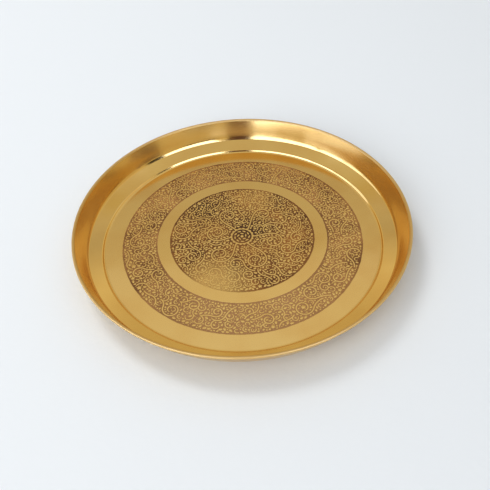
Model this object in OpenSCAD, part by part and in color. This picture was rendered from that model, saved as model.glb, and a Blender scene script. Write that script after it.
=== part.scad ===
// Round spun brass tray with a wired rim and two etched, filled zones on its floor.
// Millimetres. The origin is the centre of the resting face and +Z points up.

/* [Tray] */
// Outside diameter over the rolled rim
tray_d = 254; // [230:1:280]
// Overall height, from the resting face to the top of the rim
tray_h = 23.5; // [21:0.5:26]
// Thickness of the brass sheet
sheet_t = 0.6; // [0.5:0.05:0.7]

/* [Rim] */
// Outside diameter of the rolled bead
bead_d = 2.2; // [2.1:0.05:2.6]
// Radial room between the wire and the curl around it
wire_room = 0.025; // [0.01:0.005:0.05]
// How far the sheet turns around the wire, in degrees
curl_turn = 270; // [200:5:270]
// Gap between the two butted ends of the wire
wire_gap = 0.8; // [0.4:0.1:2]

/* [Side] */
// Slope of the low step around the floor, in degrees
step_slope = 55; // [50:1:58]
// Height of the low step
step_h = 1.8; // [1.7:0.1:2]
// Bend radius at the foot and the head of the step
step_bend_r = 2; // [1:0.1:2]
// Slope of the ledge between the step and the wall, in degrees
ledge_slope = 24.3; // [20:0.1:26]
// Slope at which the wall starts above the ledge, in degrees
wall_foot_slope = 54; // [50:1:56]
// Slope at which the wall's rounder lower part ends, in degrees
wall_mid_slope = 66; // [63:0.5:67]
// Slope of the wall below the rim, in degrees
wall_slope = 68.5; // [68:0.5:71]
// Bend radius of the crease between the ledge and the wall
crease_r = 1.2; // [0.9:0.1:1.5]
// Bend radius of the wall's lower part
wall_low_r = 14; // [10:1:16]
// Bend radius of the wall's upper part
wall_high_r = 100; // [60:5:110]

/* [Etched zones] */
// Radius of the floor, as a share of the tray's outside radius
floor_share = 0.8445; // [0.83:0.0005:0.85]
// Radius of the medallion, as a share of the tray's outside radius
medallion_share = 0.4446; // [0.4:0.0001:0.47]
// Inner radius of the etched band, as a share of the tray's outside radius
band_in_share = 0.5221; // [0.5:0.0001:0.6]
// Outer radius of the etched band, as a share of the tray's outside radius
band_out_share = 0.7347; // [0.65:0.0001:0.78]
// Radius of the rosette at the centre, as a share of the tray's outside radius
rosette_share = 0.06; // [0.04:0.005:0.08]
// Width of the plain ring around the rosette
rosette_ring_w = 0.9; // [0.5:0.1:2]
// Depth of the etching below the polished floor
etch_depth = 0.2; // [0.1:0.05:0.25]
// Thickness of the dark fill at the bottom of the etching
fill_t = 0.08; // [0.04:0.01:0.09]
// Room between the edge of a fill and the edge of its recess
fill_room = 0.02; // [0.01:0.01:0.05]

/* [Hidden] */

$fn = 180;
// Pieces of straight line that each bend of the profile is made of
bend_steps = 10;
curl_steps = 36;

tray_r = tray_d / 2;
floor_r = tray_r * floor_share;
medallion_r = tray_r * medallion_share;
band_in_r = tray_r * band_in_share;
band_out_r = tray_r * band_out_share;
rosette_r = tray_r * rosette_share;
rosette_ring_r = rosette_r + rosette_ring_w;

// The bead's centre, the middle line of the curl around it, and the wire inside it
bead_r = bead_d / 2;
curl_r = bead_r - sheet_t / 2;
wire_r = bead_r - sheet_t - wire_room;
bead_centre = [tray_r - bead_r, tray_h - bead_r];

// Corners of the sheet's middle line, before its bends are rounded
axis_point = [0, sheet_t / 2];
step_foot = [floor_r, sheet_t / 2];
step_head = step_foot + step_h * [1 / tan(step_slope), 1];
wall_top = bead_centre + curl_r * [-sin(wall_slope), cos(wall_slope)];

// The wall's three bends, from the crease up: first slope, last slope, radius
wall_bends = [
    [ledge_slope, wall_foot_slope, crease_r],
    [wall_foot_slope, wall_mid_slope, wall_low_r],
    [wall_mid_slope, wall_slope, wall_high_r]
];
wall_run = [for (b = wall_bends) run(b[0], b[1], b[2])];
crease = meeting(step_head, ledge_slope,
    wall_top - wall_run[0] - wall_run[1] - wall_run[2], wall_slope);
wall_starts = [crease, crease + wall_run[0], crease + wall_run[0] + wall_run[1]];

function heading(a) = [cos(a), sin(a)];
// How far an arc of radius r leads while its slope rises from a to b
function run(a, b, r) = r * (heading(b - 90) - heading(a - 90));
function cross2(a, b) = a[0] * b[1] - a[1] * b[0];

// Where the line through p at slope a meets the line through q at slope b
function meeting(p, a, q, b) =
    p + heading(a) * cross2(q - p, heading(b)) / cross2(heading(a), heading(b));

// The rounded corner at p, where the slope turns from a to b with bend radius r:
// a list of [point, slope]
function bend(p, a, b, r) =
    let (
        side = sign(b - a),
        trim = r * tan(abs(b - a) / 2),
        centre = p - trim * heading(a) + side * r * heading(a + 90)
    )
    [for (i = [0:bend_steps])
        let (s = a + (b - a) * i / bend_steps)
        [centre - side * r * heading(s + 90), s]];

// The bends of the wall, each starting where the last one ends
function wall() =
    [for (k = [0:len(wall_bends) - 1], i = [0:bend_steps])
        if (k == 0 || i > 0)
        let (b = wall_bends[k], s = b[0] + (b[1] - b[0]) * i / bend_steps)
        [wall_starts[k] + run(b[0], s, b[2]), s]];

// The curl of the sheet around the wire
function curl() =
    [for (i = [0:curl_steps])
        let (s = wall_slope - curl_turn * i / curl_steps)
        [bead_centre + curl_r * heading(s + 90), s]];

// The middle line of the whole sheet, from the axis to the end of the curl
function middle_line() = concat(
    [[axis_point, 0]],
    bend(step_foot, 0, step_slope, step_bend_r),
    bend(step_head, step_slope, ledge_slope, step_bend_r),
    wall(),
    curl());

// One face of the sheet: the middle line moved sideways by d
function face(line, d) = [for (m = line) m[0] + d * heading(m[1] + 90)];
function backwards(list) = [for (i = [len(list) - 1:-1:0]) list[i]];

module sheet_section() {
    line = middle_line();
    polygon(concat(face(line, -sheet_t / 2), backwards(face(line, sheet_t / 2))));
}

// A flat ring from radius a to radius b, from height z, of thickness h
module ring(a, b, z, h) {
    rotate_extrude() translate([a, z]) square([b - a, h]);
}

// Room for one etched zone, open at the top of the floor
module etching(a, b) {
    ring(a, b, sheet_t - etch_depth, 2 * etch_depth);
}

// The fill at the bottom of one etched zone
module fill(a, b) {
    inner = a == 0 ? 0 : a + fill_room;
    ring(inner, b - fill_room, sheet_t - etch_depth, fill_t);
}

// The spun sheet: floor with etched zones, step, ledge, wall and curled rim
module tray_pan() {
    color("goldenrod")
    difference() {
        rotate_extrude() sheet_section();
        etching(0, rosette_r);
        etching(rosette_ring_r, medallion_r);
        etching(band_in_r, band_out_r);
    }
}

// The wire that stiffens the rim, bent to a ring with its ends butted
module rim_wire() {
    gap_angle = wire_gap / bead_centre[0] * 180 / PI;
    color("darkgoldenrod")
    rotate([0, 0, 45 + gap_angle / 2])
    rotate_extrude(angle = 360 - gap_angle)
    translate(bead_centre) circle(r = wire_r, $fn = 48);
}

module medallion_fill() {
    color("sienna") fill(rosette_ring_r, medallion_r);
}

module band_fill() {
    color("sienna") fill(band_in_r, band_out_r);
}

module rosette_fill() {
    color("sienna") fill(0, rosette_r);
}

tray_pan();
rim_wire();
medallion_fill();
band_fill();
rosette_fill();
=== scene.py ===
"""Looks of the etched brass tray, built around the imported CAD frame. Metres, +Z up."""

import math
import random

import bpy
import numpy as np
from mathutils import Matrix, Vector


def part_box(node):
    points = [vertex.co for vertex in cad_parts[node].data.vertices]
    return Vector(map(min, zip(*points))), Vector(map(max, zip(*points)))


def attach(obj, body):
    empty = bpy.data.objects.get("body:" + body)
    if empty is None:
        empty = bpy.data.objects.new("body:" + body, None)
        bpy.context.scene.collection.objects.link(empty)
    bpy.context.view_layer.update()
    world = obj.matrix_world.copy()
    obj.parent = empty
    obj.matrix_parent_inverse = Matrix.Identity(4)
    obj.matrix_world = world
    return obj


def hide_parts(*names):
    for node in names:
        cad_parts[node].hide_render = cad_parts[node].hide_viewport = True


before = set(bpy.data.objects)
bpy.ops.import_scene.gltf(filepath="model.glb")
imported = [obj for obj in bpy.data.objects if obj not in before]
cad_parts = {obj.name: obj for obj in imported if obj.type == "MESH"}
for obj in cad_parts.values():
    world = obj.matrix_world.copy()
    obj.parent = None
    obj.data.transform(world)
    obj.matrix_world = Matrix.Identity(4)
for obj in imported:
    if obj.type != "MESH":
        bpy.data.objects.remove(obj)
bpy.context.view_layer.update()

# ---------------------------------------------------------------- sizes from the frame

MM = 0.001
TRAY_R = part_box("tray_pan")[1].x
TRAY_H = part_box("tray_pan")[1].z
MEDALLION_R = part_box("medallion_fill")[1].x
BAND_OUT_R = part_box("band_fill")[1].x
ROSETTE_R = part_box("rosette_fill")[1].x
FILL_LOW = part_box("band_fill")[0].z
FILL_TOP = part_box("band_fill")[1].z

# Sizes of the sheet that the frame's boxes don't give
SHEET_T = 0.6 * MM
BAND_IN_R = 0.5221 * TRAY_R
ROSETTE_RING_R = ROSETTE_R + 0.92 * MM
FLOOR_R = 0.8445 * TRAY_R
STEP_H = 1.8 * MM
STEP_SLOPE, LEDGE_SLOPE = 55, 24.3
STEP_BEND_R = 2 * MM
# The wall's arcs from the ledge up: the slope that each one reaches, and its radius
WALL_ARCS = [(54, 1.2 * MM), (66, 14 * MM), (68.5, 100 * MM)]
BEAD_R = 1.1 * MM
CURL_R = BEAD_R - SHEET_T / 2
CURL_TURN = 270

FLOOR_Z = SHEET_T
BODY = "root"

# ---------------------------------------------------------------- mesh helpers


def new_piece(name, verts, faces, material):
    """A smooth-shaded mesh object from vertices and faces."""
    mesh = bpy.data.meshes.new(name)
    mesh.from_pydata(np.asarray(verts).tolist(), [], [list(f) for f in faces])
    mesh.materials.append(material)
    mesh.polygons.foreach_set("use_smooth", [True] * len(mesh.polygons))
    mesh.update()
    piece = bpy.data.objects.new(name, mesh)
    bpy.context.scene.collection.objects.link(piece)
    return piece


def unit(angle_deg):
    """The unit vector at an angle in degrees."""
    a = math.radians(angle_deg)
    return np.array([math.cos(a), math.sin(a)])


def wave(angles, seed, size, lowest, highest):
    """A smooth closed wobble around the circle, of about the given size."""
    rng = random.Random(seed)
    total = np.zeros_like(angles)
    for k in range(lowest, highest, 3):
        total += math.sqrt(lowest / k) * np.cos(k * angles + rng.uniform(0, 2 * math.pi))
    return size * total / math.sqrt((highest - lowest) / 3)


# ---------------------------------------------------------------- the sheet's section


def bend(corner, a, b, radius, steps):
    """The rounded corner of the middle line, from slope a to slope b: points and slopes."""
    side = 1 if b > a else -1
    trim = radius * math.tan(math.radians(abs(b - a)) / 2)
    centre = corner - trim * unit(a) + side * radius * unit(a + 90)
    slopes = [a + (b - a) * i / steps for i in range(steps + 1)]
    return [(centre - side * radius * unit(s + 90), s) for s in slopes]


def meeting(p, a, q, b):
    """Where the line through p at slope a meets the line through q at slope b."""
    u, v, w = unit(a), unit(b), q - p
    return p + u * (w[0] * v[1] - w[1] * v[0]) / (u[0] * v[1] - u[1] * v[0])


def arc(start, a, b, radius, steps):
    """An arc of the middle line from its start point, bending from slope a up to slope b."""
    slopes = [a + (b - a) * i / steps for i in range(steps + 1)]
    return [(start + radius * (unit(s - 90) - unit(a - 90)), s) for s in slopes]


def side_line():
    """The middle line of the sheet from the foot of the step to the end of the curl."""
    bead = np.array([TRAY_R - BEAD_R, TRAY_H - BEAD_R])
    foot = np.array([FLOOR_R, SHEET_T / 2])
    head = foot + STEP_H * np.array([1 / math.tan(math.radians(STEP_SLOPE)), 1])
    line = bend(foot, 0, STEP_SLOPE, STEP_BEND_R, 6)
    line += bend(head, STEP_SLOPE, LEDGE_SLOPE, STEP_BEND_R, 6)
    wall, slope = [(np.zeros(2), LEDGE_SLOPE)], LEDGE_SLOPE
    for end, radius in WALL_ARCS:
        wall += arc(wall[-1][0], slope, end, radius, 8)[1:]
        slope = end
    top = bead + CURL_R * unit(slope + 90)
    crease = meeting(head, LEDGE_SLOPE, top - wall[-1][0], slope)
    line += [(crease + p, s) for p, s in wall]
    slopes = [slope - CURL_TURN * i / 30 for i in range(31)]
    line += [(bead + CURL_R * unit(s + 90), s) for s in slopes]
    return line


def offset(line, d):
    """One face of the sheet: the middle line moved sideways by d."""
    return [tuple(p + d * unit(s + 90)) for p, s in line]


# ---------------------------------------------------------------- pieces

SEGMENTS = 512
RAGGED = 0.16 * MM
POOL_GAP = 1.6 * MM
POOL_DEPTH = 0.012 * MM
EDGE_DROP = 0.02 * MM


def edge_wobble(seed):
    """The slight unevenness of an etched zone's edge, around the circle."""
    angles = np.linspace(0, 2 * math.pi, SEGMENTS, endpoint=False)
    return wave(angles, seed, RAGGED, lowest=20, highest=160)


def pan_rings():
    """Rings of the pan from the middle of its top round to the middle of its underside:
    radius, height and the name of the zone edge that the ring follows."""
    low, lip, shoulder, batter = FILL_LOW, 0.1 * MM, 0.03 * MM, 0.01 * MM
    rings = [(0.3 * ROSETTE_R, low, None)]
    zones = [(None, "rosette", ROSETTE_R), (ROSETTE_RING_R, "medallion", MEDALLION_R),
             (BAND_IN_R, "band", BAND_OUT_R)]
    for inner, name, outer in zones:
        if inner:
            edge = name + "_in"
            rings += [(inner - 4 * lip, FLOOR_Z, edge), (inner - lip, FLOOR_Z, edge),
                      (inner, FLOOR_Z - shoulder, edge), (inner + batter, low, edge)]
            rings.append(((inner + outer) / 2, low, None))
        edge = name + "_out"
        rings += [(outer - batter, low, edge), (outer, FLOOR_Z - shoulder, edge),
                  (outer + lip, FLOOR_Z, edge), (outer + 4 * lip, FLOOR_Z, edge)]
    rings += [(r, FLOOR_Z, None) for r in np.linspace(BAND_OUT_R + 2 * MM, FLOOR_R - 2 * MM, 4)]
    line = side_line()
    rings += [(r, z, None) for r, z in offset(line, SHEET_T / 2)]
    rings += [(r, z, None) for r, z in reversed(offset(line, -SHEET_T / 2))]
    rings += [(r, 0.0, None) for r in np.linspace(FLOOR_R - 4 * MM, 0.1 * TRAY_R, 6)]
    return rings


EDGE_SEEDS = {"rosette_out": 1, "medallion_in": 2, "medallion_out": 3, "band_in": 4, "band_out": 5}


def make_pan(material):
    """The spun sheet, turned round the axis with a fine, smooth section."""
    angles = np.linspace(0, 2 * math.pi, SEGMENTS, endpoint=False)
    verts = [np.array([[0, 0, FILL_LOW]])]
    rings = pan_rings()
    for r, z, edge in rings:
        radius = r + (edge_wobble(EDGE_SEEDS[edge]) if edge else 0 * angles)
        verts.append(np.column_stack([radius * np.cos(angles), radius * np.sin(angles),
                                      np.full(SEGMENTS, z)]))
    verts.append(np.array([[0, 0, 0]]))
    verts = np.concatenate(verts)
    faces, last = [], len(verts) - 1
    for j in range(SEGMENTS):
        k = (j + 1) % SEGMENTS
        faces.append((0, 1 + j, 1 + k))
        for i in range(len(rings) - 1):
            a, b = 1 + i * SEGMENTS, 1 + (i + 1) * SEGMENTS
            faces.append((a + j, b + j, b + k, a + k))
        a = 1 + (len(rings) - 1) * SEGMENTS
        faces.append((last, a + k, a + j))
    pan = new_piece("spun_pan", verts, faces, material)
    pan.data.set_sharp_from_angle(angle=math.radians(30))
    return pan


def make_fill(name, inner, outer, in_edge, out_edge, material, seed):
    """The brown fill of one etched zone: an uneven thin sheet that meets the zone's edges."""
    angles = np.linspace(0, 2 * math.pi, SEGMENTS, endpoint=False)
    count = max(3, int((outer - inner) / POOL_GAP))
    verts, faces = [], []
    low = edge_wobble(EDGE_SEEDS[in_edge]) if in_edge else 0 * angles
    high = edge_wobble(EDGE_SEEDS[out_edge])
    rng = np.random.default_rng(seed)
    for i in range(count + 1):
        share = i / count
        radius = inner + (outer - inner) * share + low * (1 - share) + high * share
        pool = POOL_DEPTH * rng.standard_normal(SEGMENTS)
        pool = (pool + np.roll(pool, 1) + np.roll(pool, -1)) / 3
        z = FILL_TOP + pool - (EDGE_DROP if i in (0, count) else 0)
        verts.append(np.column_stack([radius * np.cos(angles), radius * np.sin(angles), z]))
    rim = len(verts)
    for ring in (verts[-1], verts[0]):
        verts.append(np.column_stack([ring[:, :2], np.full(SEGMENTS, FILL_LOW)]))
    order = list(range(rim)) + [rim, rim + 1, 0]
    for a, b in zip(order[:-1], order[1:]):
        for j in range(SEGMENTS):
            k = (j + 1) % SEGMENTS
            faces.append((a * SEGMENTS + j, b * SEGMENTS + j, b * SEGMENTS + k, a * SEGMENTS + k))
    fill = new_piece(name, np.concatenate(verts), faces, material)
    fill.data.set_sharp_from_angle(angle=math.radians(50))
    return fill


# ---------------------------------------------------------------- the raised pattern

CELL = 0.2 * MM
PATH_STEP = 0.5 * MM
GAP = 0.48 * MM
STEM_HALF = 0.5 * MM
LEAD_HALF = STEM_HALF * 1.1
SHOOT_HALF = STEM_HALF * 0.85
CURL_HALF = 0.8 * STEM_HALF
TIGHTEST_BEND = 1.2 * MM
ROOT_LENGTH = 1.2 * MM
SHORTEST_WIND = 8 * MM
FLOWER_R, FLOWER_REACH = 2.1 * MM, 2.9 * MM
BUD_R, BUD_REACH = 0.85 * MM, 1.45 * MM
SMALL_BUD_R, SMALL_BUD_REACH = 0.7 * MM, 1.35 * MM
RELIEF_LOW = FILL_LOW + 0.02 * MM
SHOULDER = 0.05 * MM
CROWN_IN = 0.13 * MM
# How far the crowns vary in height, and how far a motif's middle sinks at most, in mm
UNEVEN = 0.02
SUNKEN = 0.05


def turned(points, angle):
    """Points turned about the origin."""
    c, s = math.cos(angle), math.sin(angle)
    return points @ np.array([[c, s], [-s, c]])


def leaf_outline(length, width):
    """A leaf along X, fuller towards its stalk."""
    t = np.arange(8) * math.pi / 4
    return np.column_stack([length / 2 * np.cos(t),
                            width / 2 * np.sin(t) * (1 - 0.3 * np.cos(t))])


def dot_outline(radius):
    """A round dot."""
    t = np.arange(7) * 2 * math.pi / 7
    return radius * np.column_stack([np.cos(t), np.sin(t)])


def flower_outline(radius, petals=5):
    """A flower head with rounded petals."""
    t = np.arange(4 * petals) * math.pi / (2 * petals)
    reach = radius * (0.78 + 0.22 * np.cos(petals * t))
    return np.column_stack([reach * np.cos(t), reach * np.sin(t)])


def spread(outline, extra):
    """Sample points all over an outline that has grown by extra."""
    grown = outline * (1 + extra / np.hypot(*outline.T))[:, None]
    rim = np.concatenate([grown, (grown + np.roll(grown, -1, axis=0)) / 2])
    return np.concatenate([rim * s for s in (0.2, 0.5, 0.8, 1.0)])


def disc_cells(radius):
    """Grid offsets of the cells within a radius."""
    reach = int(radius / CELL)
    span = np.arange(-reach, reach + 1)
    across, along = np.meshgrid(span, span)
    near = np.hypot(across, along) * CELL <= radius
    return np.column_stack([across[near], along[near]])


class Zone:
    """One etched zone while its pattern grows: covered cells, stems and mesh so far."""

    def __init__(self, inner, outer, seed):
        self.inner, self.outer = inner, outer
        self.rng = random.Random(seed)
        self.middle = int(outer / CELL) + 2
        axis = (np.arange(2 * self.middle + 1) - self.middle) * CELL
        radius = np.hypot(axis[:, None], axis[None, :])
        self.taken = (radius > outer - GAP) | (radius < inner + GAP)
        self.stems = []
        self.verts, self.faces, self.total = [], [], 0

    def cells(self, points):
        """The grid cells that points fall into."""
        index = np.rint(points / CELL).astype(int) + self.middle
        return np.clip(index, 0, 2 * self.middle)

    def is_free(self, points):
        """Whether none of the points is covered."""
        x, y = self.cells(points).T
        return not self.taken[x, y].any()

    def cover(self, points):
        """Marks the cells of the points as covered."""
        x, y = self.cells(points).T
        self.taken[x, y] = True

    def add_shape(self, outline, centre, angle):
        """A low motif with upright sides, a rounded shoulder and a slightly sunken crown."""
        self.cover(turned(spread(outline, 0), angle) + centre)
        count = len(outline)
        top = FLOOR_Z - self.rng.uniform(0, UNEVEN) * MM
        inset = outline * (1 - CROWN_IN / np.hypot(*outline.T))[:, None]
        rings = [(outline, RELIEF_LOW), (outline, top - SHOULDER), (inset, top)]
        parts = [np.column_stack([turned(ring, angle) + centre, np.full(count, z)])
                 for ring, z in rings]
        parts.append(np.array([[*centre, top - self.rng.uniform(0, SUNKEN) * MM]]))
        j = np.arange(count)
        k = (j + 1) % count
        for low in (0, count):
            self.add_quads(low + j, low + k, low + count + k, low + count + j)
        peak = np.full(count, 3 * count)
        self.faces += (np.column_stack([2 * count + j, 2 * count + k, peak]) + self.total).tolist()
        self.verts.append(np.concatenate(parts))
        self.total += 3 * count + 1

    def add_quads(self, a, b, c, d):
        """Faces among the vertices that are added next."""
        self.faces += (np.column_stack([a, b, c, d]) + self.total).tolist()

    def try_shape(self, outline, centre, angle):
        """Adds a motif if there is room for it."""
        if not self.is_free(turned(spread(outline, GAP), angle) + centre):
            return False
        self.add_shape(outline, centre, angle)
        return True

    def add_stem(self, path, half):
        """A stem along a path, tapering to its tip."""
        heading = np.gradient(path, axis=0)
        heading /= np.hypot(*heading.T)[:, None]
        normal = np.column_stack([-heading[:, 1], heading[:, 0]])
        count = len(path)
        width = half * np.minimum(1, 0.45 + 0.09 * np.arange(count)[::-1])[:, None]
        crown = width - CROWN_IN
        top = FLOOR_Z - self.rng.uniform(0, UNEVEN) * MM
        rails = [(width, RELIEF_LOW), (width, top - SHOULDER), (crown, top)]
        rails += [(-across, z) for across, z in reversed(rails)]
        verts = np.stack([np.column_stack([path + normal * w, np.full(count, z)])
                          for w, z in rails], axis=1).reshape(-1, 3)
        i = np.arange(count - 1) * 6
        for side in range(5):
            self.add_quads(i + side, i + side + 6, i + side + 7, i + side + 1)
        self.verts.append(verts)
        self.total += len(verts)
        self.stems.append((path, heading))
        ball = disc_cells(half) * CELL
        self.cover((path[:, None, :] + ball[None, :, :]).reshape(-1, 2))

    def free_part(self, path, room, skip):
        """The part of a path before it comes too close to anything covered."""
        ball = disc_cells(room) * CELL
        for i in range(skip, len(path)):
            if not self.is_free(path[i] + ball):
                return path[:i]
        return path


def scroll(start, heading, side, radius, turns, shrink):
    """A path that winds inwards from its start."""
    points, angle, wound = [start], heading, 0
    while wound < 2 * math.pi * turns:
        bend_r = max(radius * math.exp(-shrink * wound), TIGHTEST_BEND)
        wound += PATH_STEP / bend_r
        angle += side * PATH_STEP / bend_r
        points.append(points[-1] + PATH_STEP * np.array([math.cos(angle), math.sin(angle)]))
    return np.array(points)


def follow(start, heading, bends):
    """A path through bends, each a length and a turn in degrees, and its last heading."""
    points, angle = [start], heading
    for length, turn in bends:
        count = max(1, round(length / PATH_STEP))
        for i in range(count):
            angle += math.radians(turn) / count
            points.append(points[-1] + PATH_STEP * np.array([math.cos(angle), math.sin(angle)]))
    return np.array(points), angle


def polar(radius, angle):
    """The point at a radius and an angle."""
    return radius * np.array([math.cos(angle), math.sin(angle)])


def end_centre(path, side, reach):
    """The middle of the curl at the end of a path."""
    along = path[-1] - path[-2]
    along = along / np.hypot(*along)
    return path[-1] + side * reach * np.array([-along[1], along[0]])


def free_spots(zone, room, tries):
    """Some of the places that have a given room around them, in random order."""
    blocked = zone.taken.copy()
    edge = 2 * zone.middle + 1
    for dx, dy in disc_cells(room):
        shifted = zone.taken[max(dx, 0):edge + min(dx, 0), max(dy, 0):edge + min(dy, 0)]
        blocked[max(-dx, 0):edge + min(-dx, 0), max(-dy, 0):edge + min(-dy, 0)] |= shifted
    spots = np.argwhere(~blocked)
    picks = np.random.default_rng(zone.rng.randrange(10 ** 6)).permutation(len(spots))[:tries]
    return (spots[picks] - zone.middle) * CELL


def grow_pinwheel(zone, count, start_r):
    """Stems that leave the rosette all round and wind into large scrolls."""
    for k in range(count):
        angle = 2 * math.pi * (k + zone.rng.uniform(-0.06, 0.06)) / count
        swing = zone.rng.uniform(8, 16)
        lead = zone.rng.uniform(10, 24) * MM
        stalk, heading = follow(polar(start_r, angle), angle + math.radians(swing),
                                [(lead * 0.5, swing), (lead * 0.5, -2 * swing)])
        size = zone.rng.uniform(6, 9) * MM
        wound = scroll(stalk[-1], heading, -1, size, turns=1.25, shrink=0.12)
        path = zone.free_part(np.concatenate([stalk, wound[1:]]), STEM_HALF + GAP, 4)
        zone.add_stem(path, LEAD_HALF)
        zone.try_shape(flower_outline(FLOWER_R), end_centre(path, -1, FLOWER_REACH), angle)


def grow_sprays(zone, tries):
    """Loose stems with a bend, wound up the other way at the far end."""
    for spot in free_spots(zone, 2.5 * MM, tries):
        side = zone.rng.choice((-1, 1))
        length = zone.rng.uniform(7, 15) * MM
        turn = side * zone.rng.uniform(30, 80)
        stalk, heading = follow(spot, zone.rng.uniform(0, 2 * math.pi), [(length, turn)])
        size = zone.rng.uniform(4.5, 7.5) * MM
        wound = scroll(stalk[-1], heading, -side, size, turns=1.2, shrink=0.13)
        path = zone.free_part(np.concatenate([stalk, wound[1:]]), STEM_HALF + GAP, 0)
        if len(path) * PATH_STEP >= length + SHORTEST_WIND:
            zone.add_stem(path, STEM_HALF)
            zone.try_shape(flower_outline(FLOWER_R), end_centre(path, -side, FLOWER_REACH), turn)


def grow_tendrils(zone, tries, room, sizes, shortest):
    """Side shoots that curl into whatever room is left."""
    for _ in range(tries):
        path, heading = zone.rng.choice(zone.stems)
        i = zone.rng.randrange(len(path) - 1)
        side = zone.rng.choice((-1, 1))
        angle = math.atan2(heading[i][1], heading[i][0]) + side * zone.rng.uniform(0.3, 0.8)
        size = zone.rng.uniform(*sizes) * MM
        curl_side = side * zone.rng.choice((-1, 1, 1))
        shoot = scroll(path[i], angle, curl_side, size, turns=1.3, shrink=0.16)
        skip = int((room + ROOT_LENGTH) / PATH_STEP)
        if len(shoot) <= skip:
            continue
        shoot = zone.free_part(shoot, room, skip)
        if len(shoot) * PATH_STEP >= shortest:
            zone.add_stem(shoot, SHOOT_HALF)
            zone.try_shape(dot_outline(BUD_R), end_centre(shoot, side, BUD_REACH), 0)


# Leaves' lengths and widths, and dots' radii, in mm, each from the largest down
LEAVES = [(3.1, 1.85), (2.6, 1.6), (2.1, 1.4), (1.6, 1.15)]
DOTS = (0.85, 0.68, 0.52)
SCATTER_TRIES = 6000
SMALL_FLOWER_R, SMALL_FLOWER_ROOM = 1.8 * MM, 1.95 * MM
FLOWER_TRIES = 120


def grow_leaves(zone):
    """Leaves on both sides of every stem."""
    for path, heading in list(zone.stems):
        spot, side = zone.rng.uniform(1, 3), 1
        while spot < len(path) - 1:
            i = int(spot)
            lean = zone.rng.uniform(0.5, 0.95)
            turn = math.atan2(heading[i][1], heading[i][0]) + side * lean
            normal = side * np.array([-heading[i][1], heading[i][0]])
            for length, width in LEAVES:
                reach = math.hypot(length / 2 * math.sin(lean), width / 2 * math.cos(lean)) * MM
                centre = path[i] + normal * (STEM_HALF + 1.25 * GAP + reach)
                if zone.try_shape(leaf_outline(length * MM, width * MM), centre, turn):
                    break
            side = -side
            spot += zone.rng.uniform(2, 3)


def scatter(zone, outline, room, tries):
    """Copies of one motif wherever there is still room."""
    for spot in free_spots(zone, room, tries):
        zone.try_shape(outline, spot, zone.rng.uniform(0, 2 * math.pi))


def scatter_curls(zone, tries):
    """Short hooked shoots with a bud at their tip."""
    room = CURL_HALF + GAP
    for spot in free_spots(zone, 1.25 * MM, tries):
        side = zone.rng.choice((-1, 1))
        size = zone.rng.uniform(1.8, 2.8) * MM
        heading = zone.rng.uniform(0, 2 * math.pi)
        curl = scroll(spot, heading, side, size, turns=0.72, shrink=0.12)
        if len(zone.free_part(curl, room, 0)) == len(curl):
            zone.add_stem(curl, CURL_HALF)
            zone.try_shape(dot_outline(SMALL_BUD_R), end_centre(curl, side, SMALL_BUD_REACH), 0)


def scatter_fillings(zone):
    """Small flowers, leaves and dots between the stems."""
    scatter(zone, flower_outline(SMALL_FLOWER_R), SMALL_FLOWER_ROOM, FLOWER_TRIES)
    for length, width in LEAVES[:3]:
        outline = leaf_outline(length * MM, width * MM)
        scatter(zone, outline, (width / 2) * MM + GAP, SCATTER_TRIES)
    for radius in DOTS:
        scatter(zone, dot_outline(radius * MM), radius * MM + 0.8 * GAP, SCATTER_TRIES)


def finish_zone(zone, name, material):
    """The grown pattern as one mesh."""
    piece = new_piece(name, np.concatenate(zone.verts), zone.faces, material)
    piece.data.set_sharp_from_angle(angle=math.radians(35))
    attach(piece, BODY)
    return piece


PINWHEEL_STEMS = 6
SPRAYS = 260
LONG_SHOOTS = {"tries": 500, "room": 2.3 * MM, "sizes": (5, 8), "shortest": 10 * MM}
SHORT_SHOOTS = {"tries": 1500, "room": 2 * MM, "sizes": (2.6, 5), "shortest": 5 * MM}
CURLS = 2500


def grow_foliage(zone):
    """What both zones have alike, from the longest stems down to the dots."""
    grow_sprays(zone, SPRAYS)
    grow_tendrils(zone, **LONG_SHOOTS)
    grow_tendrils(zone, **SHORT_SHOOTS)
    scatter_curls(zone, CURLS)
    grow_leaves(zone)
    scatter_fillings(zone)


def make_medallion(material):
    """The scrollwork between the rosette's ring and the edge of the medallion."""
    zone = Zone(ROSETTE_RING_R + 0.9 * MM, MEDALLION_R, seed=31)
    grow_pinwheel(zone, PINWHEEL_STEMS, ROSETTE_RING_R + 0.4 * MM)
    grow_foliage(zone)
    return finish_zone(zone, "medallion_scrollwork", material)


def make_band(material):
    """The scrollwork of the broad band."""
    zone = Zone(BAND_IN_R, BAND_OUT_R, seed=32)
    grow_foliage(zone)
    return finish_zone(zone, "band_scrollwork", material)


# Rounds of petals: how many, then their distance from the centre, length and width in mm,
# and their lean in radians
ROSE_PETALS = [(5, 3.1, 3.1, 1.2, 1.2), (9, 5.6, 3.2, 1.2, 1.35)]
SCALLOPS = 18


def make_rosette(material):
    """The rose at the centre, and the scallops around its ring."""
    zone = Zone(0, ROSETTE_R, seed=33)
    zone.add_shape(dot_outline(1.3 * MM), np.zeros(2), 0.2)
    for count, radius, length, width, lean in ROSE_PETALS:
        for k in range(count):
            angle = 2 * math.pi * k / count + 0.1 * radius
            petal = leaf_outline(length * MM, width * MM)
            zone.add_shape(petal, polar(radius * MM, angle), angle + lean)
    scallop = leaf_outline(1.5 * MM, 2.4 * MM)
    for k in range(SCALLOPS):
        angle = 2 * math.pi * k / SCALLOPS
        zone.add_shape(scallop, polar(ROSETTE_RING_R + 0.1 * MM, angle), angle)
    return finish_zone(zone, "rosette", material)


# ---------------------------------------------------------------- materials


def new_material(name):
    """A material with its nodes, links and shader."""
    material = bpy.data.materials.new(name)
    material.use_nodes = True
    nodes, links = material.node_tree.nodes, material.node_tree.links
    return material, nodes, links, nodes["Principled BSDF"]


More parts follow.
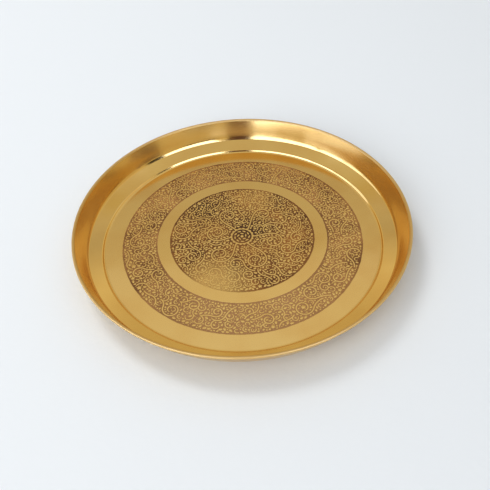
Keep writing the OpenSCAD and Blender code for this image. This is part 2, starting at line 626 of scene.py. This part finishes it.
def add_node(nodes, kind, values):
    """A node with values set on its inputs."""
    node = nodes.new(kind)
    for socket, value in values.items():
        node.inputs[socket].default_value = value
    return node


def add_noise(nodes, links, place, scale, detail):
    """Noise in the object's own space."""
    noise = add_node(nodes, "ShaderNodeTexNoise", {"Scale": scale, "Detail": detail})
    links.new(place.outputs["Object"], noise.inputs["Vector"])
    return noise


def add_range(nodes, links, source, **limits):
    """A value mapped to a new range, and clamped to it."""
    names = {"low": "From Min", "high": "From Max", "start": "To Min", "end": "To Max"}
    values = {names[limit]: value for limit, value in limits.items()}
    mapped = add_node(nodes, "ShaderNodeMapRange", values)
    links.new(source, mapped.inputs["Value"])
    return mapped.outputs["Result"]


def add_math(nodes, links, operation, *values):
    """Arithmetic on numbers and on other nodes' outputs."""
    node = nodes.new("ShaderNodeMath")
    node.operation = operation
    for socket, value in zip(node.inputs, values):
        if isinstance(value, (int, float)):
            socket.default_value = value
        else:
            links.new(value, socket)
    return node.outputs["Value"]


def mix_colours(nodes, links, factor, first, second):
    """A colour mixed from two, each a fixed colour or another node's output."""
    mix = nodes.new("ShaderNodeMix")
    mix.data_type = "RGBA"
    links.new(factor, mix.inputs["Factor"])
    for socket, colour in (("A", first), ("B", second)):
        if isinstance(colour, tuple):
            mix.inputs[socket].default_value = (*colour, 1)
        else:
            links.new(colour, mix.inputs[socket])
    return mix.outputs["Result"]


BRASS_CLEAN = (0.88, 0.60, 0.205)
BRASS_DARK = (0.82, 0.52, 0.16)
BRASS_ROUGHNESS = 0.12
# The rim's darker brass: partly wear, partly painted shade that dims the bead's highlight
RIM_WEAR_AND_SHADE = (0.70, 0.465, 0.165)
RIM_ROUGHNESS = 0.32
WALL_ROUGHNESS = 0.06


def spun_rings(nodes, links, apart):
    """A faint bump in rings round the axis, as spinning leaves it."""
    flat = nodes.new("ShaderNodeCombineXYZ")
    links.new(apart.outputs["X"], flat.inputs["X"])
    links.new(apart.outputs["Y"], flat.inputs["Y"])
    radius = nodes.new("ShaderNodeVectorMath")
    radius.operation = "LENGTH"
    links.new(flat.outputs["Vector"], radius.inputs[0])
    rings = nodes.new("ShaderNodeTexNoise")
    rings.noise_dimensions = "1D"
    rings.inputs["Scale"].default_value = 2600
    rings.inputs["Detail"].default_value = 2
    links.new(radius.outputs["Value"], rings.inputs["W"])
    bump = add_node(nodes, "ShaderNodeBump", {"Strength": 0.3, "Distance": 0.005 * MM})
    links.new(rings.outputs["Fac"], bump.inputs["Height"])
    return bump.outputs["Normal"]


def brass_material():
    """Polished brass: spun rings, faint tarnish, uneven polish, a softer wall, and a rougher rim
    whose darker colour is partly wear and partly painted shade.
    """
    material, nodes, links, shader = new_material("polished_brass")
    shader.inputs["Metallic"].default_value = 1.0
    shader.inputs["Coat Weight"].default_value = 0.3
    shader.inputs["Coat Roughness"].default_value = 0.05
    place = nodes.new("ShaderNodeTexCoord")
    apart = nodes.new("ShaderNodeSeparateXYZ")
    links.new(place.outputs["Object"], apart.inputs["Vector"])
    rim = add_range(nodes, links, apart.outputs["Z"],
                    low=TRAY_H - 1.6 * MM, high=TRAY_H - 0.6 * MM)
    tarnish = add_noise(nodes, links, place, 28, 5)
    patches = add_range(nodes, links, tarnish.outputs["Fac"], low=0.42, high=0.75)
    colour = mix_colours(nodes, links, patches, BRASS_CLEAN, BRASS_DARK)
    # Darkens the rim's colour: partly wear, partly painted shade that dims the bead's highlight
    colour = mix_colours(nodes, links, rim, colour, RIM_WEAR_AND_SHADE)
    links.new(colour, shader.inputs["Base Color"])
    polish = add_noise(nodes, links, place, 90, 3)
    rough = add_range(nodes, links, polish.outputs["Fac"],
                      start=BRASS_ROUGHNESS * 0.85, end=BRASS_ROUGHNESS * 1.2)
    worn = add_math(nodes, links, "MULTIPLY_ADD", rim, RIM_ROUGHNESS, rough)
    wall = add_range(nodes, links, apart.outputs["Z"], low=0.35 * TRAY_H, high=0.55 * TRAY_H)
    satin = add_math(nodes, links, "MULTIPLY_ADD", wall, WALL_ROUGHNESS, worn)
    links.new(satin, shader.inputs["Roughness"])
    links.new(spun_rings(nodes, links, apart), shader.inputs["Normal"])
    return material


def wash(nodes, links, place, patches, colour, spot, reach, tint):
    """A tint over a colour around a spot: strongest within the first reach, gone past the
    second."""
    inner, outer = reach
    near = nodes.new("ShaderNodeVectorMath")
    near.operation = "DISTANCE"
    near.inputs[1].default_value = (*spot, FILL_TOP)
    links.new(place.outputs["Object"], near.inputs[0])
    fade = add_range(nodes, links, near.outputs["Value"], low=outer, high=inner)
    patchy = add_math(nodes, links, "MULTIPLY", fade, patches)
    even = add_math(nodes, links, "MULTIPLY", fade, 0.8)
    strength = add_math(nodes, links, "MAXIMUM", patchy, even)
    return mix_colours(nodes, links, strength, colour, tint)


def lac_material(name, light, dark, washes):
    """Brown lac, blotched from light to dark, and washed with other tints in places."""
    material, nodes, links, shader = new_material(name)
    shader.inputs["Metallic"].default_value = 0.3
    shader.inputs["Specular IOR Level"].default_value = 0.25
    place = nodes.new("ShaderNodeTexCoord")
    blotch = add_noise(nodes, links, place, 38, 6)
    blotch.inputs["Roughness"].default_value = 0.6
    patches = add_range(nodes, links, blotch.outputs["Fac"], low=0.36, high=0.64)
    colour = mix_colours(nodes, links, patches, dark, light)
    for spot, reach, tint in washes:
        colour = wash(nodes, links, place, patches, colour, spot, reach, tint)
    links.new(colour, shader.inputs["Base Color"])
    gloss = add_range(nodes, links, blotch.outputs["Fac"], start=0.34, end=0.5)
    links.new(gloss, shader.inputs["Roughness"])
    return material


GOLD_TINT = (0.60, 0.36, 0.10)
ORANGE_BROWN = (0.40, 0.20, 0.05)
NEAR_BLACK = (0.06, 0.025, 0.009)
PALE_BROWN = (0.41, 0.215, 0.085)
# Tints over the lac, each a spot, the reaches where it is full and where it is gone, and a colour:
# the medallion turns gold towards the near left, orange-brown at the far right and near black at
# the far left and round the middle; the band turns paler towards the near side
MEDALLION_WASHES = [((-22 * MM, -48 * MM), (8 * MM, 30 * MM), GOLD_TINT),
                    ((14 * MM, 44 * MM), (2 * MM, 20 * MM), ORANGE_BROWN),
                    ((-30 * MM, 32 * MM), (6 * MM, 30 * MM), NEAR_BLACK),
                    ((6 * MM, 8 * MM), (6 * MM, 24 * MM), NEAR_BLACK)]
BAND_WASHES = [((0, -80 * MM), (30 * MM, 90 * MM), PALE_BROWN)]

BRASS = brass_material()
BAND_LAC = lac_material("band_lac", (0.38, 0.18, 0.055), (0.15, 0.06, 0.018), BAND_WASHES)
MEDALLION_LAC = lac_material("medallion_lac", (0.30, 0.12, 0.025), (0.09, 0.032, 0.01),
                             MEDALLION_WASHES)

# ---------------------------------------------------------------- building the tray

pan = make_pan(BRASS)
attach(pan, BODY)
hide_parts("tray_pan")


def lay_ground(name, node, inner, outer, edges, lac, seed):
    """The brown fill of one zone, in place of its node."""
    ground = make_fill(name, inner, outer, *edges, lac, seed)
    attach(ground, BODY)
    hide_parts(node)


lay_ground("rosette_ground", "rosette_fill", 0.6 * MM, ROSETTE_R, (None, "rosette_out"),
           MEDALLION_LAC, seed=11)
lay_ground("medallion_ground", "medallion_fill", ROSETTE_RING_R, MEDALLION_R,
           ("medallion_in", "medallion_out"), MEDALLION_LAC, seed=12)
lay_ground("band_ground", "band_fill", BAND_IN_R, BAND_OUT_R, ("band_in", "band_out"),
           BAND_LAC, seed=13)

make_medallion(BRASS)
make_band(BRASS)
make_rosette(BRASS)

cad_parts["rim_wire"].data.materials.clear()
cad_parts["rim_wire"].data.materials.append(BRASS)

# ---------------------------------------------------------------- studio

PAPER_HALF = 3.0
PAPER_Z = -0.05 * MM


def make_paper():
    """The pale sheet of paper that the tray stands on."""
    material, nodes, links, shader = new_material("pale_paper")
    shader.inputs["Base Color"].default_value = (0.81, 0.835, 0.85, 1)
    shader.inputs["Roughness"].default_value = 0.9
    place = nodes.new("ShaderNodeTexCoord")
    grain = add_noise(nodes, links, place, 160, 6)
    bump = add_node(nodes, "ShaderNodeBump", {"Strength": 0.25, "Distance": 0.6 * MM})
    links.new(grain.outputs["Fac"], bump.inputs["Height"])
    links.new(bump.outputs["Normal"], shader.inputs["Normal"])
    turns = ((-1, -1), (1, -1), (1, 1), (-1, 1))
    corners = [(PAPER_HALF * x, PAPER_HALF * y, PAPER_Z) for x, y in turns]
    paper = new_piece("paper", corners, [(0, 1, 2, 3)], material)


VIEW_ELEVATION = 45.3
VIEW_ROLL = 3.5
VIEW_DISTANCE = 3.716 * TRAY_R
VIEW_LENS = 44.27
VIEW_SHIFT = (0.0061, -0.018)


def make_camera():
    """Looks down at the middle of the floor, a little rolled."""
    elevation, roll = math.radians(VIEW_ELEVATION), math.radians(VIEW_ROLL)
    target = Vector((0, 0, FLOOR_Z))
    back = Vector((0, -math.cos(elevation), math.sin(elevation)))
    level_up = Vector((0, math.sin(elevation), math.cos(elevation)))
    level_right = Vector((1, 0, 0))
    right = math.cos(roll) * level_right - math.sin(roll) * level_up
    up = math.sin(roll) * level_right + math.cos(roll) * level_up
    data = bpy.data.cameras.new("camera")
    data.sensor_width = 36
    data.lens = VIEW_LENS
    data.shift_x, data.shift_y = VIEW_SHIFT
    data.clip_start, data.clip_end = 0.01, 50
    camera = bpy.data.objects.new("camera", data)
    camera.matrix_world = Matrix((
        (right.x, up.x, back.x, target.x + VIEW_DISTANCE * back.x),
        (right.y, up.y, back.y, target.y + VIEW_DISTANCE * back.y),
        (right.z, up.z, back.z, target.z + VIEW_DISTANCE * back.z),
        (0, 0, 0, 1)))
    bpy.context.scene.collection.objects.link(camera)
    bpy.context.scene.camera = camera


def direction(azimuth, elevation):
    """A direction in the room: azimuth from the camera's side towards +X, in degrees."""
    a, e = math.radians(azimuth), math.radians(elevation)
    return Vector((math.sin(a) * math.cos(e), -math.cos(a) * math.cos(e), math.sin(e)))


def patch_size(azimuths, elevations, distance):
    """Width and height of a flat card that covers a patch of the room, and its direction."""
    (left, right), (low, high) = azimuths, elevations
    middle = direction((left + right) / 2, (low + high) / 2)
    height = 2 * distance * math.tan(math.radians(high - low) / 2)
    level = math.cos(math.radians(low + high) / 2)
    width = 2 * distance * math.tan(math.radians(right - left) / 2) * level
    return width, height, middle


def fade_flare(data):
    """Drops a light from its later mirror images, so it doesn't flare from wall to wall."""
    data.use_nodes = True
    nodes, links = data.node_tree.nodes, data.node_tree.links
    path = nodes.new("ShaderNodeLightPath")
    early = add_math(nodes, links, "LESS_THAN", path.outputs["Ray Depth"], 2.5)
    links.new(early, nodes["Emission"].inputs["Strength"])


COOL = (0.84, 1.0, 1.6)
CARD_DISTANCE = 2.2
FLAG_DISTANCE = 1.5


def make_card(name, azimuths, elevations, radiance, kind="window"):
    """A flat soft light that faces the tray from a patch of the room. A window fades from its
    later mirror images, a deep one stays in all of them, and a key light shows in none."""
    width, height, middle = patch_size(azimuths, elevations, CARD_DISTANCE)
    data = bpy.data.lights.new(name, "AREA")
    data.shape = "RECTANGLE"
    data.size, data.size_y = width, height
    data.energy = radiance * math.pi ** 2 / 4 * width * height
    if kind == "window":
        fade_flare(data)
    light = bpy.data.objects.new(name, data)
    light.location = CARD_DISTANCE * middle
    light.rotation_mode = "QUATERNION"
    light.rotation_quaternion = middle.to_track_quat("Z", "Y")
    data.color = (1, 1, 1) if kind == "key" else COOL
    light.visible_diffuse = kind == "key"
    light.visible_glossy = kind != "key"
    bpy.context.scene.collection.objects.link(light)


def make_flag(name, azimuths, elevations, colour):
    """A dark cloth that breaks up the bright reflections. It shows in reflections only."""
    width, height, middle = patch_size(azimuths, elevations, FLAG_DISTANCE)
    material, _, _, shader = new_material(name)
    shader.inputs["Base Color"].default_value = (*colour, 1)
    shader.inputs["Roughness"].default_value = 1.0
    across = middle.cross(Vector((0, 0, 1))).normalized() * width / 2
    upward = across.cross(middle).normalized() * height / 2
    centre = FLAG_DISTANCE * middle
    corners = [centre - across - upward, centre + across - upward,
               centre + across + upward, centre - across + upward]
    cloth = new_piece(name, [tuple(c) for c in corners], [(0, 1, 2, 3)], material)
    cloth.visible_camera = False


# The room that polished metal mirrors, from the horizon to overhead: how steeply up,
# from 0 to 1, then red, green and blue
ROOM = [(0.0, 0.58, 0.47, 0.26), (0.10, 0.62, 0.52, 0.29), (0.24, 0.60, 0.50, 0.29),
        (0.42, 0.76, 0.67, 0.46), (0.60, 0.51, 0.47, 0.38), (0.70, 0.58, 0.53, 0.43),
        (0.775, 0.565, 0.485, 0.28), (0.84, 0.62, 0.58, 0.46), (0.96, 0.63, 0.59, 0.48),
        (1.0, 0.61, 0.57, 0.47)]
DAYLIGHT = (0.62, 0.635, 0.65)


def make_world():
    """Pale daylight, with a warm room that shows in polished metal."""
    world = bpy.data.worlds.new("studio")
    world.use_nodes = True
    nodes, links = world.node_tree.nodes, world.node_tree.links
    place = nodes.new("ShaderNodeTexCoord")
    apart = nodes.new("ShaderNodeSeparateXYZ")
    links.new(place.outputs["Generated"], apart.inputs["Vector"])
    ramp = nodes.new("ShaderNodeValToRGB")
    stops = ramp.color_ramp.elements
    while len(stops) < len(ROOM):
        stops.new(0.5)
    for stop, (height, *colour) in zip(stops, ROOM):
        stop.position = height
        stop.color = (*colour, 1)
    links.new(apart.outputs["Z"], ramp.inputs["Fac"])
    path = nodes.new("ShaderNodeLightPath")
    room = mix_colours(nodes, links, path.outputs["Is Glossy Ray"], DAYLIGHT, ramp.outputs["Color"])
    links.new(room, nodes["Background"].inputs["Color"])
    bpy.context.scene.world = world


make_camera()
make_paper()
make_world()
make_card("left_window", (-62, -10), (12.3, 47), 3.1)
make_card("far_left_window", (-82, -62), (10.5, 36), 2.5)
make_card("dim_left_window", (-99, -82), (9.5, 36), 1.7)
make_card("faint_left_window", (-118, -99), (9.5, 36), 1.1)
make_card("right_window", (13, 58), (20, 54), 3.3)
make_card("left_glow", (-90, -49), (-1, 9), 0.8)
make_card("near_left_glow", (-29, -13), (2, 10), 0.35)
make_card("near_right_glow", (7, 18), (2, 10), 0.5)
make_card("back_glow", (145, 215), (48, 72), 0.2)
make_card("right_glow", (80, 130), (24, 52), 0.15, "deep")
make_card("window_light", (-62, -10), (14, 47), 4, "key")
make_card("key", (-150, -120), (48, 68), 11, "key")
make_flag("centre_flag", (-12, 6.5), (12, 50), (0.10, 0.03, 0.02))
make_flag("centre_shade", (-12, 6.5), (0, 12), (0.55, 0.38, 0.22))
make_flag("side_flag", (56, 70), (14, 34), (0.04, 0.03, 0.02))
make_flag("side_shade", (56, 70), (0, 9), (0.20, 0.12, 0.08))
make_flag("far_side_shade", (71, 77), (0, 9), (0.32, 0.20, 0.15))
make_flag("sill_flag", (15, 38), (13.5, 19), (0.08, 0.07, 0.06))
bpy.context.scene.view_settings.view_transform = "Standard"
